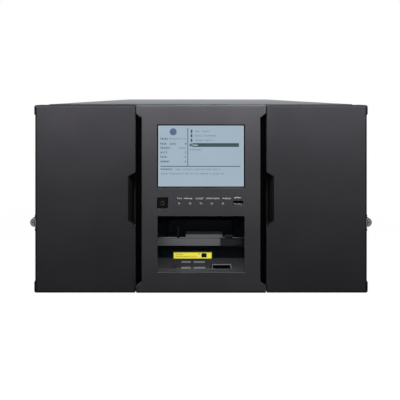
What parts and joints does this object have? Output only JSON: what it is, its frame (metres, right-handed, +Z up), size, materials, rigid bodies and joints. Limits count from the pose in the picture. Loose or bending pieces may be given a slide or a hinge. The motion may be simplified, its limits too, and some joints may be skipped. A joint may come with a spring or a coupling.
{
  "type": "data tape library",
  "caption": "Rack-mounted data tape library with two slide-out cartridge magazines, a picking robot seen through a front window, a display, tape drives and power supplies.",
  "frame": {"origin": "middle of the bounding box, on the plane that the case stands on", "axes": "+Z up, the doors and display face -Y, +X to the right of someone who faces the display"},
  "size_m": [0.4782, 0.878, 0.2624],
  "materials": {
    "door_plastic": "fine textured charcoal moulding",
    "bezel_plastic": "fine textured dark grey moulding",
    "black_plastic": "black moulded plastic",
    "cover_paint": "smooth light grey paint",
    "zinc_steel": "zinc plated sheet",
    "screw_steel": "bright nickel plated steel",
    "robot_metal": "satin aluminium",
    "rod_steel": "ground steel",
    "board_green": "green solder mask",
    "screen_glass": "display behind a clear cover",
    "clear_pane": "clear tinted pane",
    "label_yellow": "yellow label on the bracket",
    "light_white": "frosted light pipes",
    "latch_brown": "coloured touch point",
    "cartridge_plastic": "dark cartridge shell"
  },
  "bodies": {
    "case": {"base_pan": "zinc_steel", "top_cover": "cover_paint", "rear_panel": "zinc_steel", "front_frame": "zinc_steel", "left_rack_ear": "zinc_steel", "right_rack_ear": "zinc_steel", "front_bezel": "bezel_plastic", "vent_grilles": "black_plastic", "display_panel": "screen_glass", "control_board": "board_green", "status_lights": "light_white", "usb_port": "zinc_steel", "viewing_window": "clear_pane", "magazine_guides": "zinc_steel", "lift_racks": "rod_steel", "drive_cage": "zinc_steel", "library_controller": "zinc_steel", "network_jacks": "zinc_steel", "floor_bracket": "label_yellow", "case_screws": "screw_steel", "drive_blanks": "zinc_steel"},
    "left_magazine": {"left_door": "door_plastic", "left_magazine_tray": "black_plastic", "left_magazine_top": "black_plastic", "left_dividers": "black_plastic", "left_shelves": "black_plastic", "left_cartridges": "cartridge_plastic"},
    "right_magazine": {"right_door": "door_plastic", "right_magazine_tray": "black_plastic", "right_magazine_top": "black_plastic", "right_dividers": "black_plastic", "right_shelves": "black_plastic", "right_cartridges": "cartridge_plastic"},
    "robot_frame": {"front_crossbeam": "robot_metal", "rear_crossbeam": "robot_metal", "side_rails": "robot_metal", "guide_rods": "rod_steel", "lift_motor": "robot_metal", "shaft_bearings": "black_plastic"},
    "front_shaft": {"front_lift_shaft": "rod_steel"},
    "rear_left_gear": {"rear_left_pinion": "rod_steel"},
    "rear_right_gear": {"rear_right_pinion": "rod_steel"},
    "robot_carriage": {"carriage": "robot_metal"},
    "robot_turntable": {"turntable": "black_plastic"},
    "robot_gripper": {"gripper": "robot_metal"},
    "gripper_left_finger": {"left_finger": "rod_steel"},
    "gripper_right_finger": {"right_finger": "rod_steel"},
    "drive_1": {"tape_drive_1": "zinc_steel"},
    "drive_2": {"tape_drive_2": "zinc_steel"},
    "drive_3": {"tape_drive_3": "zinc_steel"},
    "psu_lower": {"lower_power_supply": "zinc_steel"},
    "psu_upper": {"upper_power_supply": "zinc_steel"},
    "fan_lower": {"lower_psu_fan": "black_plastic"},
    "fan_upper": {"upper_psu_fan": "black_plastic"},
    "latch_lower": {"lower_psu_latch": "latch_brown"},
    "latch_upper": {"upper_psu_latch": "latch_brown"},
    "button": {"power_button": "black_plastic"},
    "left_screw": {"left_thumbscrew": "screw_steel"},
    "right_screw": {"right_thumbscrew": "screw_steel"}
  },
  "joints": [
    {"name": "left_magazine_slide", "type": "slide", "parent": "case", "child": "left_magazine", "axis": [0, -1, 0], "range_m": [0, 0.46]},
    {"name": "right_magazine_slide", "type": "slide", "parent": "case", "child": "right_magazine", "axis": [0, -1, 0], "range_m": [0, 0.46]},
    {"name": "robot_lift", "type": "slide", "parent": "case", "child": "robot_frame", "axis": [0, 0, 1], "range_m": [-0.0468, 0.1638]},
    {"name": "front_shaft_turn", "type": "hinge", "parent": "robot_frame", "child": "front_shaft", "pos_m": [0, -0.39527, 0.064], "axis": [1, 0, 0], "range_deg": [-258, 896]},
    {"name": "rear_left_gear_turn", "type": "hinge", "parent": "robot_frame", "child": "rear_left_gear", "pos_m": [-0.08, 0.093, 0.064], "axis": [1, 0, 0], "range_deg": [-896, 258]},
    {"name": "rear_right_gear_turn", "type": "hinge", "parent": "robot_frame", "child": "rear_right_gear", "pos_m": [0.08, 0.093, 0.064], "axis": [1, 0, 0], "range_deg": [-896, 258]},
    {"name": "carriage_travel", "type": "slide", "parent": "robot_frame", "child": "robot_carriage", "axis": [0, 1, 0], "range_m": [0, 0.332]},
    {"name": "turntable_turn", "type": "hinge", "parent": "robot_carriage", "child": "robot_turntable", "pos_m": [0, -0.3115, 0.0568], "axis": [0, 0, 1], "range_deg": [-90, 90]},
    {"name": "gripper_reach", "type": "slide", "parent": "robot_turntable", "child": "robot_gripper", "axis": [0, 1, 0], "range_m": [0, 0.07]},
    {"name": "left_finger_open", "type": "slide", "parent": "robot_gripper", "child": "gripper_left_finger", "axis": [-1, 0, 0], "range_m": [0, 0.002]},
    {"name": "right_finger_open", "type": "slide", "parent": "robot_gripper", "child": "gripper_right_finger", "axis": [1, 0, 0], "range_m": [0, 0.002]},
    {"name": "drive_1_removal", "type": "slide", "parent": "case", "child": "drive_1", "axis": [0, 1, 0], "range_m": [0, 0.28]},
    {"name": "drive_2_removal", "type": "slide", "parent": "case", "child": "drive_2", "axis": [0, 1, 0], "range_m": [0, 0.28]},
    {"name": "drive_3_removal", "type": "slide", "parent": "case", "child": "drive_3", "axis": [0, 1, 0], "range_m": [0, 0.28]},
    {"name": "psu_lower_removal", "type": "slide", "parent": "case", "child": "psu_lower", "axis": [0, 1, 0], "range_m": [0, 0.24]},
    {"name": "psu_upper_removal", "type": "slide", "parent": "case", "child": "psu_upper", "axis": [0, 1, 0], "range_m": [0, 0.24]},
    {"name": "fan_lower_spin", "type": "hinge", "parent": "psu_lower", "child": "fan_lower", "pos_m": [-0.17, 0.401, 0.044], "axis": [0, 1, 0], "continuous": true},
    {"name": "latch_lower_release", "type": "hinge", "parent": "psu_lower", "child": "latch_lower", "pos_m": [-0.099, 0.416, 0.038], "axis": [-1, 0, 0], "range_deg": [0, 20], "stiffness_Nm_per_rad": 0.02, "springref_deg": -17.19},
    {"name": "fan_upper_spin", "type": "hinge", "parent": "psu_upper", "child": "fan_upper", "pos_m": [-0.17, 0.401, 0.112], "axis": [0, 1, 0], "continuous": true},
    {"name": "latch_upper_release", "type": "hinge", "parent": "psu_upper", "child": "latch_upper", "pos_m": [-0.099, 0.416, 0.106], "axis": [-1, 0, 0], "range_deg": [0, 20], "stiffness_Nm_per_rad": 0.02, "springref_deg": -17.19},
    {"name": "power_button_press", "type": "slide", "parent": "case", "child": "button", "axis": [0, 1, 0], "range_m": [0, 0.0025], "stiffness_N_per_m": 500, "springref_m": -0.002},
    {"name": "left_thumbscrew_turn", "type": "hinge", "parent": "case", "child": "left_screw", "pos_m": [-0.23255, -0.429, 0.0976], "axis": [0, 1, 0], "continuous": true},
    {"name": "right_thumbscrew_turn", "type": "hinge", "parent": "case", "child": "right_screw", "pos_m": [0.23255, -0.429, 0.0976], "axis": [0, 1, 0], "continuous": true}
  ],
  "couplings": [
    {"joint": "front_shaft_turn", "follows": "robot_lift", "rad_per_m": 95.238},
    {"joint": "rear_left_gear_turn", "follows": "robot_lift", "rad_per_m": -95.238},
    {"joint": "rear_right_gear_turn", "follows": "robot_lift", "rad_per_m": -95.238},
    {"joint": "right_finger_open", "follows": "left_finger_open", "ratio": 1}
  ]
}
